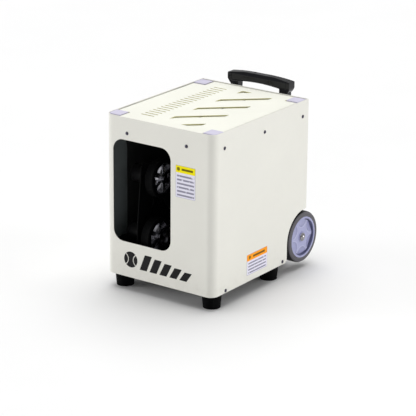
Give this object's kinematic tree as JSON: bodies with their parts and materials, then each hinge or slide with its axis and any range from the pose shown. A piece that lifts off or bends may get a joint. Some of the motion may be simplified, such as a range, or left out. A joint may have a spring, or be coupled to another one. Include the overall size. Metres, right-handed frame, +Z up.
{
  "type": "tennis ball machine",
  "caption": "Portable ball-throwing machine: cream steel cabinet, slotted hinged hopper lid, twin launch wheels behind a front window, transport wheels and telescoping handle.",
  "frame": {"origin": "on the floor under the middle of the whole object, wheels and handle included", "axes": "+Z up, the ball window faces -Y, the handle and transport wheels are at +Y, +X is the side without the lid hinge"},
  "size_m": [0.3726, 0.5232, 0.5392],
  "materials": {
    "body_shell": "cream powder coat, fine orange-peel texture",
    "rear_panel": "cream powder coat",
    "base_plate": "galvanised steel floor pan",
    "wheel_wells": "cream powder coat",
    "top_frame": "cream powder coat",
    "corner_pads": "lilac-grey moulded plastic",
    "small_screws": "zinc plated socket screws",
    "window_liner": "black textured plastic",
    "rubber_feet": "black moulded rubber",
    "foot_bolts": "zinc plated bolts and nuts",
    "shell_screws": "zinc plated pan head screws",
    "axle": "bright steel rod",
    "axle_brackets": "galvanised steel",
    "wheel_tyre_right": "dark rubber tyre",
    "wheel_hub_right": "lilac-grey moulded plastic",
    "wheel_tyre_left": "dark rubber tyre",
    "wheel_hub_left": "lilac-grey moulded plastic",
    "axle_caps": "polished domed push cap",
    "handle_outer_tubes": "satin anodised tube",
    "handle_mounts": "black plastic clamp",
    "handle_mid_tubes": "satin anodised tube",
    "handle_mid_collars": "black plastic collar",
    "handle_top_tubes": "satin anodised tube",
    "handle_grip": "black gloss plastic",
    "release_button": "dark plastic button",
    "lid_panel": "cream powder coat, bare cut edges",
    "lid_inner_skin": "cream plastic sheet",
    "hinge_fixed_leaves": "steel hinge leaf",
    "hinge_lid_leaves": "steel hinge leaf",
    "hopper_sides": "cream moulded plastic",
    "hopper_floor": "cream plastic sheet",
    "feeder_pan": "black moulded plastic",
    "feed_carousel": "black moulded plastic",
    "feed_shaft": "steel shaft",
    "feed_motor": "black painted gearmotor",
    "drop_chute": "black plastic tube",
    "turntable_base": "steel bearing ring",
    "yaw_pivot": "steel pivot bolt",
    "yoke": "black painted steel",
    "cradle_plates": "black painted steel",
    "ball_guide": "black plastic trough",
    "launch_motors": "black painted motor cans",
    "upper_wheel_hub": "cast aluminium",
    "upper_wheel_tyre": "black rubber",
    "lower_wheel_hub": "cast aluminium",
    "lower_wheel_tyre": "black rubber",
    "battery": "dark battery case",
    "battery_bracket": "galvanised steel",
    "controller_box": "dark plastic case",
    "control_panel": "black textured plastic",
    "gauge_lens": "tinted clear window",
    "charge_socket": "black socket",
    "speed_knob": "grey knob",
    "interval_knob": "grey knob",
    "power_rocker": "black rocker",
    "start_button": "green push button",
    "elevation_button": "grey push button",
    "front_label": "printed sticker with a yellow band, no wording",
    "side_label": "printed sticker with an orange band, no wording",
    "front_mark": "thin black applied graphic, plain shapes"
  },
  "bodies": {
    "cabinet": {"body_shell": "body_shell", "rear_panel": "rear_panel", "base_plate": "base_plate", "wheel_wells": "wheel_wells", "top_frame": "top_frame", "corner_pads": "corner_pads", "small_screws": "small_screws", "window_liner": "window_liner", "rubber_feet": "rubber_feet", "foot_bolts": "foot_bolts", "shell_screws": "shell_screws", "axle": "axle", "axle_brackets": "axle_brackets", "axle_caps": "axle_caps", "handle_outer_tubes": "handle_outer_tubes", "handle_mounts": "handle_mounts", "hinge_fixed_leaves": "hinge_fixed_leaves", "hopper_sides": "hopper_sides", "hopper_floor": "hopper_floor", "feeder_pan": "feeder_pan", "feed_motor": "feed_motor", "drop_chute": "drop_chute", "turntable_base": "turntable_base", "yaw_pivot": "yaw_pivot", "battery": "battery", "battery_bracket": "battery_bracket", "controller_box": "controller_box", "control_panel": "control_panel", "gauge_lens": "gauge_lens", "charge_socket": "charge_socket", "front_label": "front_label", "side_label": "side_label", "front_mark": "front_mark"},
    "lid": {"lid_panel": "lid_panel", "lid_inner_skin": "lid_inner_skin", "hinge_lid_leaves": "hinge_lid_leaves"},
    "carousel": {"feed_carousel": "feed_carousel", "feed_shaft": "feed_shaft"},
    "head": {"yoke": "yoke"},
    "cradle": {"cradle_plates": "cradle_plates", "ball_guide": "ball_guide", "launch_motors": "launch_motors"},
    "upper_launch_wheel": {"upper_wheel_hub": "upper_wheel_hub", "upper_wheel_tyre": "upper_wheel_tyre"},
    "lower_launch_wheel": {"lower_wheel_hub": "lower_wheel_hub", "lower_wheel_tyre": "lower_wheel_tyre"},
    "right_wheel": {"wheel_tyre_right": "wheel_tyre_right", "wheel_hub_right": "wheel_hub_right"},
    "left_wheel": {"wheel_tyre_left": "wheel_tyre_left", "wheel_hub_left": "wheel_hub_left"},
    "handle_mid": {"handle_mid_tubes": "handle_mid_tubes", "handle_mid_collars": "handle_mid_collars"},
    "handle_top": {"handle_top_tubes": "handle_top_tubes", "handle_grip": "handle_grip"},
    "release": {"release_button": "release_button"},
    "speed": {"speed_knob": "speed_knob"},
    "interval": {"interval_knob": "interval_knob"},
    "rocker": {"power_rocker": "power_rocker"},
    "start": {"start_button": "start_button"},
    "elevation": {"elevation_button": "elevation_button"}
  },
  "joints": [
    {"name": "lid_hinge", "type": "hinge", "parent": "cabinet", "child": "lid", "pos_m": [-0.171, 0, 0.4932], "axis": [0, -1, 0], "range_deg": [0, 105]},
    {"name": "feed_spin", "type": "hinge", "parent": "cabinet", "child": "carousel", "pos_m": [0.015, -0.0055, 0.442], "axis": [0, 0, 1], "continuous": true},
    {"name": "head_yaw", "type": "hinge", "parent": "cabinet", "child": "head", "pos_m": [-0.058, -0.0505, 0.053], "axis": [0, 0, 1], "range_deg": [-10, 10]},
    {"name": "head_pitch", "type": "hinge", "parent": "head", "child": "cradle", "pos_m": [-0.058, -0.0505, 0.222], "axis": [-1, 0, 0], "range_deg": [-6, 8]},
    {"name": "upper_launch_spin", "type": "hinge", "parent": "cradle", "child": "upper_launch_wheel", "pos_m": [-0.058, -0.1735, 0.319], "axis": [1, 0, 0], "continuous": true},
    {"name": "lower_launch_spin", "type": "hinge", "parent": "cradle", "child": "lower_launch_wheel", "pos_m": [-0.058, -0.1915, 0.154], "axis": [1, 0, 0], "continuous": true},
    {"name": "right_wheel_spin", "type": "hinge", "parent": "cabinet", "child": "right_wheel", "pos_m": [0.163, 0.1865, 0.094], "axis": [1, 0, 0], "continuous": true},
    {"name": "left_wheel_spin", "type": "hinge", "parent": "cabinet", "child": "left_wheel", "pos_m": [-0.163, 0.1865, 0.094], "axis": [1, 0, 0], "continuous": true},
    {"name": "handle_mid_slide", "type": "slide", "parent": "cabinet", "child": "handle_mid", "axis": [0, 0, 1], "range_m": [0, 0.27]},
    {"name": "handle_top_slide", "type": "slide", "parent": "handle_mid", "child": "handle_top", "axis": [0, 0, 1], "range_m": [0, 0.27]},
    {"name": "release_press", "type": "slide", "parent": "handle_top", "child": "release", "axis": [0, 0, -1], "range_m": [0, 0.004], "stiffness_N_per_m": 500, "springref_m": -0.002},
    {"name": "speed_turn", "type": "hinge", "parent": "cabinet", "child": "speed", "pos_m": [-0.03, 0.2045, 0.382], "axis": [0, 1, 0], "range_deg": [-140, 140]},
    {"name": "interval_turn", "type": "hinge", "parent": "cabinet", "child": "interval", "pos_m": [0.03, 0.2045, 0.382], "axis": [0, 1, 0], "range_deg": [-140, 140]},
    {"name": "power_rock", "type": "hinge", "parent": "cabinet", "child": "rocker", "pos_m": [-0.032, 0.1995, 0.325], "axis": [-1, 0, 0], "range_deg": [0, 12]},
    {"name": "start_press", "type": "slide", "parent": "cabinet", "child": "start", "axis": [0, -1, 0], "range_m": [0, 0.002], "stiffness_N_per_m": 400, "springref_m": -0.001},
    {"name": "elevation_press", "type": "slide", "parent": "cabinet", "child": "elevation", "axis": [0, -1, 0], "range_m": [0, 0.002], "stiffness_N_per_m": 400, "springref_m": -0.001}
  ]
}
